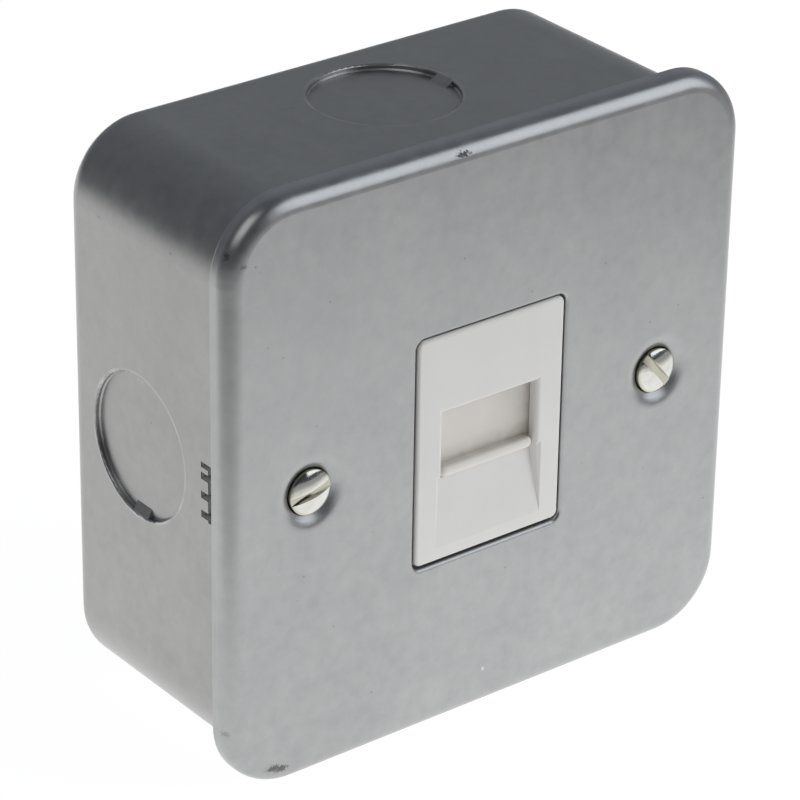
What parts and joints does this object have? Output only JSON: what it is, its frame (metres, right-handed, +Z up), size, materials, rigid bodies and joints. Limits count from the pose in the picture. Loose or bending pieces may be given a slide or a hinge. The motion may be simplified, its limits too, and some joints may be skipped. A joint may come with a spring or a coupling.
{
  "type": "telephone socket",
  "caption": "Square steel surface-mount telephone outlet with rounded cover, round side knockouts, slotted cover screws and a white shuttered plug socket.",
  "frame": {"origin": "centre of the box's back face, on the wall plane", "axes": "+Y into the wall, out of the back face; the cover faces -Y; +Z up as mounted; +X right seen from the front"},
  "size_m": [0.0876, 0.0407, 0.0876],
  "materials": {
    "box_paint": "satin metallic grey paint on drawn steel",
    "plate_paint": "satin metallic grey paint on pressed steel",
    "screw_plating": "bright nickel plating",
    "zinc_steel": "zinc plated steel",
    "brass": "plain brass",
    "white_plastic": "satin white moulding",
    "shutter_plastic": "satin off-white moulding",
    "spring_steel": "bare spring steel",
    "housing_plastic": "ivory moulding",
    "contact_metal": "gilt phosphor bronze",
    "board_laminate": "green lacquered laminate",
    "blade_metal": "tinned phosphor bronze"
  },
  "bodies": {
    "socket": {"back_box": "box_paint", "fixing_lug_left": "zinc_steel", "fixing_lug_right": "zinc_steel", "earth_terminal_block": "brass", "earth_terminal_screw": "brass", "front_plate": "plate_paint", "plate_screw_left": "screw_plating", "plate_screw_right": "screw_plating", "socket_frame": "white_plastic", "retaining_washer_left": "spring_steel", "retaining_washer_right": "spring_steel", "shutter_spring": "spring_steel", "jack_housing": "housing_plastic", "contact_1": "contact_metal", "contact_2": "contact_metal", "contact_3": "contact_metal", "contact_4": "contact_metal", "contact_5": "contact_metal", "contact_6": "contact_metal", "circuit_board": "board_laminate", "terminal_block": "housing_plastic", "terminal_blade_1": "blade_metal", "terminal_blade_2": "blade_metal", "terminal_blade_3": "blade_metal", "terminal_blade_4": "blade_metal", "terminal_blade_5": "blade_metal", "terminal_blade_6": "blade_metal"},
    "shutter": {"shutter": "shutter_plastic"}
  },
  "joints": [
    {"name": "shutter_slide", "type": "slide", "parent": "socket", "child": "shutter", "axis": [0, 0, 1], "range_m": [0, 0.0072], "stiffness_N_per_m": 60, "springref_m": -0.004, "deforming": ["shutter_spring"]}
  ]
}
